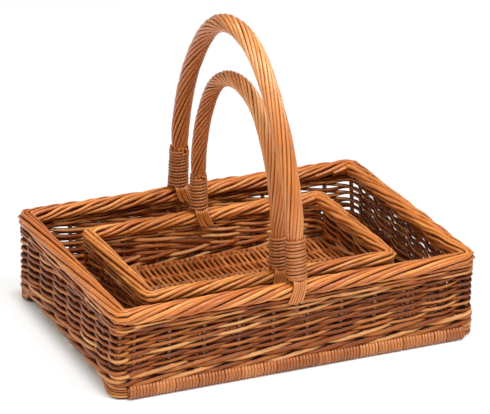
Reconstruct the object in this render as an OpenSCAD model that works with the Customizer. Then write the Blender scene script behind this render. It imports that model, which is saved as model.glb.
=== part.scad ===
// Nest of two woven willow trugs: shallow oblong baskets with a tall roped handle.
// The small trug stands on the floor of the large one, under its handle.
// The origin is on the ground, under the middle of the large trug.
// +X runs along the long sides, -Y is the front, +Z is up. Sizes are in millimetres.

/* [Large trug] */
// Length over the border
large_length = 480; // [470:1:520]
// Width over the border
large_width = 366; // [350:1:390]
// Height of the border's top above the ground
large_height = 116; // [110:1:136]
// Outer radius of the border's corners
large_corner = 16; // [12:0.5:19]
// Thickness of the woven wall
large_wall = 14; // [12:0.5:15]
// Width of the plaited border
large_border_width = 22; // [20:0.5:22]
// Height of the plaited border
large_border_height = 19; // [16:0.5:22]
// Lean of each long wall, from the ground to the rim
large_side_lean = 8.5; // [3:0.5:10]
// Place of the handle along the trug
large_handle_x = -11; // [-15:1:0]
// How far the handle's front foot stands to the right of its back foot
large_handle_skew = 15.2; // [0:0.2:18]

/* [Small trug] */
// Length over the border
small_length = 340; // [325:1:350]
// Width over the border
small_width = 234; // [220:1:242]
// Height of the border's top above its own feet
small_height = 82.5; // [78:0.5:90]
// Outer radius of the border's corners
small_corner = 14; // [10:0.5:17]
// Thickness of the woven wall
small_wall = 12.5; // [11.5:0.5:13.5]
// Width of the plaited border
small_border_width = 19; // [18:0.5:19]
// Height of the plaited border
small_border_height = 16; // [14:0.5:18]
// Lean of each long wall, from its feet to the rim
small_side_lean = 5; // [2:0.5:7]
// Place of the small trug's middle along the large one
small_x = -10; // [-14:1:4]
// Place of the small trug's middle across the large one
small_y = -6; // [-12:1:4]
// Place of the handle along the trug
small_handle_x = 0; // [-3:1:3]
// How far the handle's front foot stands to the right of its back foot
small_handle_skew = 16.6; // [0:0.2:20]

/* [Handles] */
// Rise of the large handle's middle line above its rim
large_handle_rise = 270; // [266:1:290]
// Radius of the large handle's crown
large_crown = 117; // [112:1:124]
// Thickness of the large roped handle
large_handle_d = 23; // [22:0.5:25]
// Thickness of the large handle under its binding
large_neck_d = 19.2; // [18:0.2:20]
// Length of the large handle's bound neck
large_neck = 60; // [56:1:66]
// Lean of the large handle's neck towards the middle, in degrees
large_neck_lean = 5.8; // [0:0.2:7]
// Rise of the small handle's middle line above its rim
small_handle_rise = 209; // [203:1:214]
// Radius of the small handle's crown
small_crown = 86; // [82:1:90]
// Thickness of the small roped handle
small_handle_d = 20; // [19:0.5:22]
// Thickness of the small handle under its binding
small_neck_d = 16.4; // [16:0.2:17]
// Length of the small handle's bound neck
small_neck = 51; // [48:1:58]
// Lean of the small handle's neck towards the middle, in degrees
small_neck_lean = 0; // [0:0.2:4]
// Thickness of the bow stick inside the large handle
large_bow_d = 12; // [10:0.5:13]
// Thickness of the bow stick inside the small handle
small_bow_d = 10; // [9:0.5:11]
// Thickness of a bow stick's shaved ends
shaved_d = 7.4; // [6:0.2:7.8]
// How far below the rim a bow stick's ends reach
bow_depth = 44; // [36:1:46]

/* [Bindings] */
// Rise of a binding in each turn
binding_pitch = 4.4; // [4.4:0.1:5.2]
// Thickness of the binding rod
binding_d = 3.9; // [3:0.1:3.9]
// Rods in each fan of tails
tail_count = 5; // [3:1:5]
// Thickness of a tail rod
tail_d = 3.6; // [2.8:0.1:3.8]
// Length of the tails below the rim
tail_drop = 28; // [22:1:34]

/* [Base and stakes] */
// Thickness of a lapped foot
foot_d = 19; // [17:0.5:20]
// Thickness of the stick inside a lapped foot
foot_stick_d = 12; // [10:0.5:13]
// How far a foot stands out past the wall
foot_proud = 7; // [5:0.5:8]
// Depth of the flat worn on a foot's underside
foot_flat = 0.5; // [0.3:0.1:0.8]
// Gap between a foot's end and the outside of the end wall
foot_inset = 18.5; // [16:0.5:22]
// Height of the woven floor's underside
floor_lift = 15; // [13:0.5:17]
// Thickness of the woven floor
floor_thick = 10.5; // [10:0.5:12]
// Height of the wall's lower edge where it runs down beside a foot's end
skirt_lift = 2; // [1:0.5:4]
// Length of that lower edge along each end wall
skirt_length = 38; // [32:1:46]
// Thickness of a base stick
base_stick_d = 7.5; // [5:0.5:8]
// Spacing of the base sticks
base_stick_pitch = 57; // [50:1:62]
// Place of the large floor's sticks about its middle, in spacings: 0 puts one on the middle
large_stick_shift = 0; // [0:0.5:0.5]
// Place of the small floor's sticks about its middle, in spacings: 0.5 puts one on each side
small_stick_shift = 0.5; // [0:0.5:0.5]
// Thickness of a side stake
stake_d = 5.6; // [4:0.2:6]
// Spacing of the stakes on the long sides
stake_pitch = 45; // [40:1:50]
// Spacing of the stakes on the ends
end_stake_pitch = 50; // [44:1:54]
// Height of the waling bands above the floor's underside
upsett_height = 22; // [18:1:26]
// Height of the waling band under the border
top_wale_height = 8; // [6:0.5:10]
// Lean of each end wall from the ground to the rim, less than 0 where the ground is wider
end_lean = -3; // [-4:0.5:2]
// Outer radius of the woven walls' corners
wall_corner = 18; // [17:0.5:20]
// How far the border stands out past the wall
border_proud = 1.5; // [0.5:0.5:2]
// Radius of the border's edges
border_round = 5; // [3:0.5:6]

/* [Weave] */
// Height of one row of the siding, which shows on every second stake
row_pitch = 9; // [8:0.5:11]
// Depth of the dips between the large siding's rows
large_row_depth = 2.4; // [1:0.1:2.8]
// Depth of the dips between the small siding's rows
small_row_depth = 1.6; // [1:0.1:1.8]
// Width of the valleys where the floor's rods cross between two sticks
valley_width = 20; // [16:1:24]
// Depth of those valleys, above and below
valley_depth = 2.6; // [1.5:0.1:3]

/* [Fits] */
// Clearance round a rod or slab that is woven in
fit = 0.3; // [0.2:0.05:0.4]
// Gap between the small trug's feet and the large trug's floor
nest_gap = 0.3; // [0.2:0.05:0.5]

/* [Hidden] */

// Facets of round shapes: large, small, and those blended into leaning walls
round_fn = 64;
rod_fn = 24;
wall_fn = 32;
// Turn of a rod about its own middle line, so that its facets don't face the way that it leans
rod_seam = 37;
// Thickness of the thin plates that a leaning wall is blended between
sliver = 0.05;
// Least inner radius of the walls' corners
inner_corner = 2;
// Faces round the binding and tail rods, and rings in each turn of a binding
tube_sides = 6;
turn_rings = 14;
// Faces round the handle's roping and its bow stick, and steps along each arc of the arch
rope_sides = 12;
bow_sides = 10;
crown_steps = 14;
side_steps = 6;
// Gap between a binding and the neck inside it
binding_gap = 0.2;
// Height of the cone between the neck and the full handle
shoulder = 4;
// Gap between the rim and the lowest turn of a binding
binding_lift = 3.2;
// Least that the dips between rows leave of the wall beside a bow stick's end
least_skin = 0.5;
// Steps round each corner of the ribbed siding
corner_steps = 4;
// How far along an end wall its lower edge climbs from a corner's skirt to the floor
skirt_climb = 30;
// How far a shape that cuts another reaches past it
cut_spare = 1;
// Skin that the woven floor keeps past each end of a base stick
stick_end_skin = 1;
// Where the long walls' stakes start above the feet, and the others above the floor's underside
stake_above_foot = 1;
stake_above_floor = 3;
// How far a stake reaches into the border
stake_in_border = 0.55;
front = -1;
back = 1;
floor_top = floor_lift + floor_thick;
foot_centre_z = foot_d / 2 - foot_flat;
small_z = floor_top + nest_gap;

// The sizes of one trug are handed to its parts in the $ values below
module large_trug() {
    $length = large_length;
    $width = large_width;
    $height = large_height;
    $corner = large_corner;
    $wall = large_wall;
    $border_w = large_border_width;
    $border_h = large_border_height;
    $lean = large_side_lean;
    $handle_x = large_handle_x;
    $skew = large_handle_skew;
    $rise = large_handle_rise;
    $crown = large_crown;
    $rope_d = large_handle_d;
    $neck_d = large_neck_d;
    $neck = large_neck;
    $neck_lean = large_neck_lean;
    $bow_d = large_bow_d;
    $stick_shift = large_stick_shift;
    $row_depth = large_row_depth;
    children();
}

module small_trug() {
    $length = small_length;
    $width = small_width;
    $height = small_height;
    $corner = small_corner;
    $wall = small_wall;
    $border_w = small_border_width;
    $border_h = small_border_height;
    $lean = small_side_lean;
    $handle_x = small_handle_x;
    $skew = small_handle_skew;
    $rise = small_handle_rise;
    $crown = small_crown;
    $rope_d = small_handle_d;
    $neck_d = small_neck_d;
    $neck = small_neck;
    $neck_lean = small_neck_lean;
    $bow_d = small_bow_d;
    $stick_shift = small_stick_shift;
    $row_depth = small_row_depth;
    translate([small_x, small_y, small_z]) children();
}

// Half the length and half the width over the wall at height z
function wall_half(z) = [
    $length / 2 - border_proud - end_lean * (1 - z / $height),
    $width / 2 - border_proud - $lean * (1 - z / $height)
];
function foot_y() = wall_half(foot_d / 2)[1] + foot_proud - foot_d / 2;
function foot_half_length() = wall_half(0)[0] - foot_inset;
function handle_span() = ($width - $border_w) / 2;
function siding_bottom() = floor_lift + upsett_height;
function siding_top() = $height - $border_h - top_wale_height;
function border_bottom() = $height - $border_h;

// Flat plate with rounded corners, half sizes given
module plate(half, radius, thick) {
    linear_extrude(thick) {
        square([2 * (half[0] - radius), 2 * half[1]], center = true);
        square([2 * half[0], 2 * (half[1] - radius)], center = true);
        for (x = [-1, 1], y = [-1, 1])
            translate([x * (half[0] - radius), y * (half[1] - radius)])
                circle(radius, $fn = wall_fn);
    }
}

// Solid between two heights that leans as the walls do, set in from the outside
module leaning_block(z0, z1, inset) {
    radius = max(wall_corner - inset, inner_corner);
    hull() {
        translate([0, 0, z0])
            plate(wall_half(z0) - [inset, inset], radius, sliver);
        translate([0, 0, z1 - sliver])
            plate(wall_half(z1) - [inset, inset], radius, sliver);
    }
}

module leaning_ring(z0, z1) {
    difference() {
        leaning_block(z0, z1, 0);
        translate([0, 0, -cut_spare]) leaning_block(z0, z1 + 2 * cut_spare, $wall);
    }
}

// Straight rod between two points
module rod(p0, p1, d) {
    v = p1 - p0;
    translate(p0)
        rotate([0, acos(v[2] / norm(v)), atan2(v[1], v[0])]) rotate(rod_seam)
            cylinder(h = norm(v), d = d, $fn = rod_fn);
}

// Room taken by a lapped foot
module foot_room(side) {
    half = foot_half_length() + fit;
    translate([-half, side * foot_y(), foot_centre_z]) rotate([0, 90, 0])
        cylinder(h = 2 * half, d = foot_d + 2 * fit, $fn = round_fn);
}

module foot_stick(side) {
    half = foot_half_length();
    translate([-half, side * foot_y(), foot_centre_z]) rotate([0, 90, 0])
        cylinder(h = 2 * half, d = foot_stick_d, $fn = round_fn);
}

module foot_lapping(side) {
    half = foot_half_length();
    difference() {
        translate([-half, side * foot_y(), foot_centre_z]) rotate([0, 90, 0]) difference() {
            cylinder(h = 2 * half, d = foot_d, $fn = round_fn);
            translate([0, 0, -cut_spare])
                cylinder(h = 2 * (half + cut_spare), d = foot_stick_d + 2 * fit, $fn = round_fn);
        }
        translate([-half - cut_spare, side * foot_y() - foot_d, -foot_d])
            cube([2 * (half + cut_spare), 2 * foot_d, foot_d]);
    }
}

// Places of the base sticks across the floor
function stick_ys() =
    let (rows = floor((foot_y() - foot_d / 2 - base_stick_d) / base_stick_pitch + $stick_shift))
    [for (i = [-rows:rows - 2 * $stick_shift]) (i + $stick_shift) * base_stick_pitch];

// Base sticks run lengthwise inside the woven floor
module base_stick_set(extra) {
    z = floor_lift + floor_thick / 2;
    half = wall_half(z)[0] - $wall - fit - stick_end_skin;
    for (y = stick_ys())
        rod([-half - extra, y, z], [half + extra, y, z], base_stick_d + 2 * extra);
}

// Valleys where the floor's rods cross between two sticks, above and below
module floor_valleys() {
    r = (pow(valley_width / 2, 2) + pow(valley_depth, 2)) / (2 * valley_depth);
    ys = stick_ys();
    for (i = [0:len(ys) - 2], z = [floor_lift + valley_depth - r, floor_top - valley_depth + r])
        translate([-$length / 2, (ys[i] + ys[i + 1]) / 2, z]) rotate([0, 90, 0])
            cylinder(h = $length, r = r, $fn = round_fn);
}

module base_weave() {
    difference() {
        leaning_block(floor_lift, floor_top, $wall + fit);
        floor_valleys();
        base_stick_set(fit);
        foot_room(front);
        foot_room(back);
    }
}

// Middle line of the wall at height z, as a half length and a half width
function wall_middle(z) = wall_half(z) - [$wall / 2, $wall / 2];

// Places of the stakes along the long sides and along the ends
function stake_xs() =
    let (n = floor((wall_half(0)[0] - wall_corner - abs($handle_x)) / stake_pitch + 0.5))
    [for (i = [-n:n - 1]) $handle_x + (i + 0.5) * stake_pitch];
function stake_ys() =
    let (n = floor((wall_half(0)[1] - wall_corner) / end_stake_pitch + 0.5))
    [for (i = [-n:n - 1]) (i + 0.5) * end_stake_pitch];

// Stakes stand inside the walls from the base to the border
module stake_set(extra) {
    top = border_bottom() + stake_in_border * $border_h + extra;
    side_z = foot_centre_z + foot_d / 2 + fit + stake_above_foot - extra;
    end_z = floor_lift + stake_above_floor - extra;
    corner_in = (wall_corner - $wall / 2) * (1 - sqrt(0.5));
    low = wall_middle(side_z);
    high = wall_middle(top);
    end_low = wall_middle(end_z);
    for (x = stake_xs(), side = [front, back])
        rod([x, side * low[1], side_z], [x, side * high[1], top], stake_d + 2 * extra);
    for (y = stake_ys(), side = [-1, 1])
        rod([side * end_low[0], y, end_z], [side * high[0], y, top], stake_d + 2 * extra);
    for (x = [-1, 1], y = [front, back])
        rod([x * (low[0] - corner_in), y * (low[1] - corner_in), side_z],
            [x * (high[0] - corner_in), y * (high[1] - corner_in), top], stake_d + 2 * extra);
}

// Room under the walls: they reach lower than the floor only beside the feet's ends
module under_walls() {
    along = foot_half_length() + fit;
    across = $width / 2 - skirt_length;
    translate([-along, -$width, -cut_spare])
        cube([2 * along, 2 * $width, floor_lift + cut_spare]);
    rotate([90, 0, 90]) linear_extrude(2 * $length, center = true) polygon([
        [-across, 0],
        [across, 0],
        [across - skirt_climb, floor_lift],
        [skirt_climb - across, floor_lift]
    ]);
}

module upsett() {
    difference() {
        leaning_ring(skirt_lift, siding_bottom());
        under_walls();
        stake_set(fit);
        bow_ends(fit);
        foot_room(front);
        foot_room(back);
    }
}

// The siding's rods pass in front of every second stake, half a row higher at each next one.
// A column of its surface is [side along X, side along Y, place along that side, outward way,
// swell], where the swell is 1 or -1 at a stake, as its lowest row stands out or lies back
function side_columns(places, sx, sy, first) =
    let (way = atan2(sy, sx), last = len(places) - 1)
    [for (i = [0:last], half = [0, 1]) if (i < last || half == 0)
        [sx, sy, half == 0 ? places[i] : (places[i] + places[i + 1]) / 2, way,
            half == 0 ? swell_at(first + i) : 0]];
function swell_at(stake) = stake % 2 == 0 ? 1 : -1;
function corner_columns(sx, sy, stake) =
    let (start = atan2(sy, sx) - 45)
    [for (i = [0:corner_steps])
        let (share = i / corner_steps)
        [sx, sy, 0, start + 90 * share, swell_at(stake) * (1 - abs(2 * share - 1))]];
function opposite(places) = [for (i = [len(places) - 1:-1:0]) places[i]];
function wall_columns() =
    let (xs = stake_xs(), ys = stake_ys(), n = len(xs), m = len(ys))
    concat(
        side_columns(xs, 0, -1, 0), corner_columns(1, -1, n),
        side_columns(ys, 1, 0, n + 1), corner_columns(1, 1, n + m + 1),
        side_columns(opposite(xs), 0, 1, n + m + 2), corner_columns(-1, 1, 2 * n + m + 2),
        side_columns(opposite(ys), -1, 0, 2 * n + m + 3),
        corner_columns(-1, -1, 2 * n + 2 * m + 3)
    );

// Point of a column at height z, set in from the outside
function wall_point(column, z, inset) =
    let (
        half = wall_half(z),
        radius = wall_corner - inset,
        x = column[0] == 0 ? column[2] : column[0] * (half[0] - wall_corner),
        y = column[1] == 0 ? column[2] : column[1] * (half[1] - wall_corner)
    )
    [x + radius * cos(column[3]), y + radius * sin(column[3]), z];
function siding_steps() = round(2 * (siding_top() - siding_bottom()) / row_pitch);
function siding_level(i) =
    siding_bottom() + (siding_top() - siding_bottom()) * i / siding_steps();
function row_sign(i) = i % 2 == 0 ? 1 : -1;
function row_dip() = min($row_depth, ($wall - shaved_d) / 2 - fit - least_skin);

// Block with level rings of points, each ring ordered round the upright. Its two ends are fans
// of triangles round points on the upright, whose places in the list are under_end and over_end
module ringed_block(rings) {
    sides = len(rings[0]);
    top_ring = (len(rings) - 1) * sides;
    under_end = len(rings) * sides;
    over_end = under_end + 1;
    polyhedron(
        points = concat(
            [for (ring = rings) each ring],
            [for (ring = [rings[0], rings[len(rings) - 1]]) [0, 0, ring[0][2]]]
        ),
        faces = concat(
            tube_walls(len(rings), sides),
            [for (k = [0:sides - 1]) [under_end, k, (k + 1) % sides]],
            [for (k = [0:sides - 1]) [over_end, top_ring + (k + 1) % sides, top_ring + k]]
        )
    );
}

module siding_outside() {
    columns = wall_columns();
    ringed_block([for (i = [0:siding_steps()])
        [for (c = columns)
            wall_point(c, siding_level(i), row_dip() / 2 * (1 - row_sign(i) * c[4]))]]);
}

// The inside has level rows, and reaches past the siding above and below
module siding_inside() {
    columns = concat(
        corner_columns(1, -1, 0), corner_columns(1, 1, 0),
        corner_columns(-1, 1, 0), corner_columns(-1, -1, 0)
    );
    steps = siding_steps();
    ringed_block([for (i = [-1:steps + 1])
        let (kept = min(max(i, 0), steps), z = siding_level(kept) + cut_spare * (i - kept))
        [for (c = columns)
            wall_point(c, z, $wall - row_dip() / 2 * (1 - row_sign(kept)))]]);
}

module siding() {
    difference() {
        siding_outside();
        siding_inside();
        stake_set(fit);
        bow_ends(fit);
    }
}

module top_wale() {
    difference() {
        leaning_ring(siding_top(), border_bottom());
        stake_set(fit);
        bow_ends(fit);
    }
}

// Border's cross-section, with its outer face at x = 0
module border_section() {
    near = border_round - $border_w;
    translate([-$border_w, border_round]) square([$border_w, $border_h - 2 * border_round]);
    translate([near, 0]) square([$border_w - 2 * border_round, $border_h]);
    for (x = [near, -border_round], y = [border_round, $border_h - border_round])
        translate([x, y]) circle(border_round, $fn = wall_fn);
}

// The cross-section of a whole plate with the border's rounded edges, half its width given
module border_plate_section(half) {
    translate([-half + border_round, 0]) square([2 * (half - border_round), $border_h]);
    for (turn = [0, 1]) mirror([turn, 0]) translate([half, 0]) border_section();
}

// The cross-section of the opening inside the border, reaching past its top and its underside
module border_mouth_section(half) {
    reach = half - $border_w + border_round;
    difference() {
        translate([-reach, -cut_spare]) square([2 * reach, $border_h + 2 * cut_spare]);
        for (turn = [0, 1]) mirror([turn, 0]) translate([half, 0]) border_section();
    }
}

// Shape that has the first child's cross-section both ways, so that its corners are mitred
module both_ways(out) {
    intersection() {
        rotate([90, 0, 0]) linear_extrude(2 * out[1], center = true) children(0);
        rotate([90, 0, 90]) linear_extrude(2 * out[0], center = true) children(1);
    }
}

module border() {
    out = [$length / 2, $width / 2];
    difference() {
        translate([0, 0, border_bottom()]) difference() {
            intersection() {
                both_ways(out) {
                    border_plate_section(out[0]);
                    border_plate_section(out[1]);
                }
                translate([0, 0, -cut_spare]) plate(out, $corner, $border_h + 2 * cut_spare);
            }
            both_ways(out) {
                border_mouth_section(out[0]);
                border_mouth_section(out[1]);
            }
        }
        stake_set(fit);
        bow_ends(fit);
    }
}

// Where the handle's foot stands on the rim
function foot_x(side) = $handle_x - side * $skew / 2;
// Half the distance between the handle's feet, and its turn about the upright
function arch_half() = norm([handle_span(), $skew / 2]);
function arch_turn() = atan2($skew / 2, handle_span());

// Shaved ends of the bow stick, through the border and into the siding
module bow_ends(extra) {
    for (side = [front, back])
        translate([foot_x(side), side * handle_span(), 0]) {
            translate([0, 0, $height - bow_depth - extra])
                cylinder(h = bow_depth, d = shaved_d + 2 * extra, $fn = rod_fn);
            translate([0, 0, border_bottom()])
                cylinder(h = $border_h, d1 = shaved_d + 2 * extra, d2 = $bow_d + 2 * extra, $fn = rod_fn);
        }
}

function unit(v) = v / norm(v);

// Faces of a closed tube of rings, each a triangle
function tube_walls(rings, sides, first = 0) = [
    for (i = [0:rings - 2], k = [0:sides - 1], half = [0, 1])
        let (a = first + i * sides + k,
             b = first + i * sides + (k + 1) % sides,
             c = b + sides,
             d = a + sides)
        half == 0 ? [a, d, c] : [a, c, b]
];
function tube_faces(rings, sides) = concat(
    tube_walls(rings, sides),
    [for (k = [1:sides - 2]) [0, k, k + 1]],
    [for (k = [1:sides - 2], last = (rings - 1) * sides) [last, last + k + 1, last + k]]
);

// Faces of a sleeve: an outer tube, an inner tube turned inside out, and a flat ring at each end
function turned(faces) = [for (f = faces) [f[0], f[2], f[1]]];
function end_ring(sides, outer, inner) = [
    for (k = [0:sides - 1], half = [0, 1])
        let (next = (k + 1) % sides)
        half == 0 ? [outer + k, outer + next, inner + next] : [outer + k, inner + next, inner + k]
];
function sleeve_faces(rings, sides) =
    let (inner = rings * sides, last = (rings - 1) * sides)
    concat(
        tube_walls(rings, sides),
        turned(tube_walls(rings, sides, inner)),
        end_ring(sides, 0, inner),
        turned(end_ring(sides, last, inner + last))
    );

// One ring of a tube round p, square to t, starting towards out
function tube_ring(p, t, out, r, sides) =
    let (e2 = unit(cross(t, out)), e1 = cross(e2, t))
    [for (k = [0:sides - 1])
        p + r * (cos(360 * k / sides) * e1 + sin(360 * k / sides) * e2)];

// Middle line of the arch in its own plane, from foot to foot: two sides and a crown.
// Each step is [across, up, angle of the outward way]
function way_at(a) = [cos(a), sin(a)];
function neck_top() = [arch_half(), 0] + $neck * [-sin($neck_lean), cos($neck_lean)];
function side_arc_r() =
    let (d = neck_top() - [0, $rise - $crown])
    (d * d - $crown * $crown) / (2 * (way_at($neck_lean) * d - $crown));
function side_arc_centre() = neck_top() - side_arc_r() * way_at($neck_lean);
function side_arc_turn() =
    let (d = [0, $rise - $crown] - side_arc_centre())
    atan2(d[1], d[0]);
function side_arc(a) =
    let (p = side_arc_centre() + side_arc_r() * way_at(a))
    [p[0], p[1], a];
function crown_arc(a) = [$crown * cos(a), $rise - $crown + $crown * sin(a), a];
function far_side(step) = [-step[0], step[1], 180 - step[2]];
function arch_steps() =
    let (lean = side_arc_turn(), turn = lean - $neck_lean)
    concat(
        [for (i = [0:side_steps - 1]) side_arc($neck_lean + turn * i / side_steps)],
        [for (i = [0:crown_steps]) crown_arc(lean + (180 - 2 * lean) * i / crown_steps)],
        [for (i = [side_steps - 1:-1:0]) far_side(side_arc($neck_lean + turn * i / side_steps))]
    );

// The arch with its ends added: each end is [up, radius] pairs from the lowest upwards.
// An end stands upright up to the rim and leans above it, as the neck does
function end_step(up) = up > 0
    ? [arch_half() - up * tan($neck_lean), up, $neck_lean]
    : [arch_half(), up, 0];
function with_ends(ends, r) = concat(
    [for (e = ends) [end_step(e[0]), e[1]]],
    [for (s = arch_steps()) [s, r]],
    [for (i = [len(ends) - 1:-1:0]) [far_side(end_step(ends[i][0])), ends[i][1]]]
);
function arch_rings(line, sides) = [
    for (step = line)
        let (s = step[0], a = s[2])
        each tube_ring([s[0], s[1], 0], [-sin(a), cos(a), 0], [cos(a), sin(a), 0], step[1], sides)
];

// Puts the arch's own plane over the rim, turned so that its feet stand where they should
module over_rim() {
    translate([$handle_x, 0, $height]) rotate(arch_turn()) rotate([90, 0, 90]) children();
}

module handle_bow() {
    line = with_ends([
        [-bow_depth, shaved_d / 2],
        [-$border_h, shaved_d / 2],
        [0, $bow_d / 2]
    ], $bow_d / 2);
    over_rim() polyhedron(points = arch_rings(line, bow_sides), faces = tube_faces(len(line), bow_sides));
}

// Spiralled rods round the bow, drawn as one sleeve that narrows under the bindings
module handle_roping() {
    outer = with_ends([[0, $neck_d / 2], [$neck - shoulder, $neck_d / 2]], $rope_d / 2);
    bore = ($bow_d / 2 + fit) / cos(180 / rope_sides);
    inner = with_ends([[0, bore], [$neck - shoulder, bore]], bore);
    over_rim() polyhedron(
        points = concat(arch_rings(outer, rope_sides), arch_rings(inner, rope_sides)),
        faces = sleeve_faces(len(outer), rope_sides)
    );
}

// A binding: its middle line winds up the neck, and its ends run straight on
function binding_turns() = floor(($neck - shoulder - binding_lift - binding_d) / binding_pitch);
function binding_radius() = ($neck_d / 2 + binding_gap + binding_d / 2) / cos(180 / turn_rings);
function turn_point(a, r) = [r * cos(a), r * sin(a), binding_pitch * a / 360];
function turn_way(a, r) = unit([-r * sin(a) * PI / 180, r * cos(a) * PI / 180, binding_pitch / 360]);

function binding_line(r) =
    let (last = 360 * binding_turns())
    concat(
        [turn_point(0, r) - binding_d * turn_way(0, r)],
        [for (i = [0:binding_turns() * turn_rings]) turn_point(360 * i / turn_rings, r)],
        [turn_point(last, r) + binding_d * turn_way(last, r)]
    );

function binding_angle(i, count) = 360 * min(max(i - 1, 0), count - 3) / turn_rings;

// Least gap between one turn and another, from points over half a turn apart
function least_gap(line) = min([
    for (i = [0:len(line) - 1], j = [i + turn_rings / 2 + 1:len(line) - 1])
        norm(line[i] - line[j])
]) - binding_d;

module binding(side) {
    r = binding_radius();
    line = binding_line(r);
    count = len(line);
    echo(binding_least_gap = least_gap(line));
    translate([foot_x(side), side * handle_span(), $height])
        rotate(side * 90 + arch_turn()) rotate([0, -$neck_lean, 0])
            translate([0, 0, binding_lift + binding_d / 2]) polyhedron(
                points = [for (i = [0:count - 1])
                    let (a = binding_angle(i, count))
                    each tube_ring(line[i], turn_way(a, r), [cos(a), sin(a), 0], binding_d / 2, tube_sides)],
                faces = tube_faces(count, tube_sides)
            );
}

// Middle line of one tail that runs out over the rim's edge and down, fanned sideways
function tail_line(k, way) =
    let (out = $border_w / 2 + fit + tail_d / 2,
         middle = k - (tail_count - 1) / 2,
         top = middle * (tail_d + 2 * fit),
         low = middle * (tail_d + 5 * fit) - way * tail_d)
    [
        [top, out - border_round / 4, binding_lift - tail_d / 3],
        [top, out, 0],
        [(top + low) / 2, out, -tail_drop / 2],
        [low, out, -tail_drop]
    ];

module tail(line) {
    polyhedron(
        points = [for (i = [0:len(line) - 1])
            let (t = unit(line[min(i + 1, len(line) - 1)] - line[max(i - 1, 0)]))
            each tube_ring(line[i], t, [1, 0, 0], tail_d / 2, tube_sides)],
        faces = tube_faces(len(line), tube_sides)
    );
}

// Tails fan out below a binding, on the outside and the inside of the rim
module tails(side) {
    translate([foot_x(side), side * handle_span(), $height])
        for (turn = [0, 180], k = [0:tail_count - 1])
            rotate(turn) tail(tail_line(k, side));
}

module large_front_foot() color("sienna") large_trug() foot_stick(front);
module large_back_foot() color("sienna") large_trug() foot_stick(back);
module large_front_lapping() color("sandybrown") large_trug() foot_lapping(front);
module large_back_lapping() color("sandybrown") large_trug() foot_lapping(back);
module large_base_sticks() color("sienna") large_trug() base_stick_set(0);
module large_base_weave() color("peru") large_trug() base_weave();
module large_stakes() color("sienna") large_trug() stake_set(0);
module large_upsett() color("chocolate") large_trug() upsett();
module large_siding() color("peru") large_trug() siding();
module large_top_wale() color("chocolate") large_trug() top_wale();
module large_border() color("sandybrown") large_trug() border();
module large_handle_bow() color("sienna") large_trug() handle_bow();
module large_handle_roping() color("chocolate") large_trug() handle_roping();
module large_front_binding() color("sandybrown") large_trug() binding(front);
module large_back_binding() color("sandybrown") large_trug() binding(back);
module large_front_tails() color("chocolate") large_trug() tails(front);
module large_back_tails() color("chocolate") large_trug() tails(back);
module small_front_foot() color("sienna") small_trug() foot_stick(front);
module small_back_foot() color("sienna") small_trug() foot_stick(back);
module small_front_lapping() color("sandybrown") small_trug() foot_lapping(front);
module small_back_lapping() color("sandybrown") small_trug() foot_lapping(back);
module small_base_sticks() color("sienna") small_trug() base_stick_set(0);
module small_base_weave() color("peru") small_trug() base_weave();
module small_stakes() color("sienna") small_trug() stake_set(0);
module small_upsett() color("chocolate") small_trug() upsett();
module small_siding() color("peru") small_trug() siding();
module small_top_wale() color("chocolate") small_trug() top_wale();
module small_border() color("sandybrown") small_trug() border();
module small_handle_bow() color("sienna") small_trug() handle_bow();
module small_handle_roping() color("chocolate") small_trug() handle_roping();
module small_front_binding() color("sandybrown") small_trug() binding(front);
module small_back_binding() color("sandybrown") small_trug() binding(back);
module small_front_tails() color("chocolate") small_trug() tails(front);
module small_back_tails() color("chocolate") small_trug() tails(back);

large_front_foot();
large_back_foot();
large_front_lapping();
large_back_lapping();
large_base_sticks();
large_base_weave();
large_stakes();
large_upsett();
large_siding();
large_top_wale();
large_border();
large_handle_bow();
large_handle_roping();
large_front_binding();
large_back_binding();
large_front_tails();
large_back_tails();
small_front_foot();
small_back_foot();
small_front_lapping();
small_back_lapping();
small_base_sticks();
small_base_weave();
small_stakes();
small_upsett();
small_siding();
small_top_wale();
small_border();
small_handle_bow();
small_handle_roping();
small_front_binding();
small_back_binding();
small_front_tails();
small_back_tails();
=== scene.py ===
"""Dresses a nest of two woven willow trugs.

Each trug is woven rod by rod round the stakes that the frame holds: a woven floor, three rounds
of waling, a slanting siding, a fine wale, a plaited border, a roped handle with its bindings and
fanned tails, and two lapped feet. Lengths are in metres, +X runs along the trugs and -Y is the
front.
"""

import logging
import math
import random
from dataclasses import dataclass, field
from enum import Enum

import bmesh
import bpy
import numpy as np
from mathutils import Matrix, Vector


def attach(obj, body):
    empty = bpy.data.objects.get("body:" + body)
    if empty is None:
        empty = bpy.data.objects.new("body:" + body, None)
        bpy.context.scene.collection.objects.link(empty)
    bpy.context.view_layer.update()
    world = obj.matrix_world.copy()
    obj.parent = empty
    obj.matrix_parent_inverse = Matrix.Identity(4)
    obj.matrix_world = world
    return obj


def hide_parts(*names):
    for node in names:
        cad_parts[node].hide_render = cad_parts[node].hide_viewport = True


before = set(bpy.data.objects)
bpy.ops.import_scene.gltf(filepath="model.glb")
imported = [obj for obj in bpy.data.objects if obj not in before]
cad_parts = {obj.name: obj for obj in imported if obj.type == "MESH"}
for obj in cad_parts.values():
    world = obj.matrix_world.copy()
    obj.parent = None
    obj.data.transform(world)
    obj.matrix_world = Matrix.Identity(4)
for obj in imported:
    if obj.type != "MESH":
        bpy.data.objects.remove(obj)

LOG = logging.getLogger("trugs")
MM = 0.001
UP = np.array([0.0, 0.0, 1.0])
TURN = 2.0 * math.pi


class Side(Enum):
    """The two long sides, where the handle's feet and the lapped feet are."""

    FRONT = -1
    BACK = 1


# Rods

CUT_STEP = 0.0001
BEVEL_REACH = 0.4
CUT_TONE = 1.15


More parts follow.
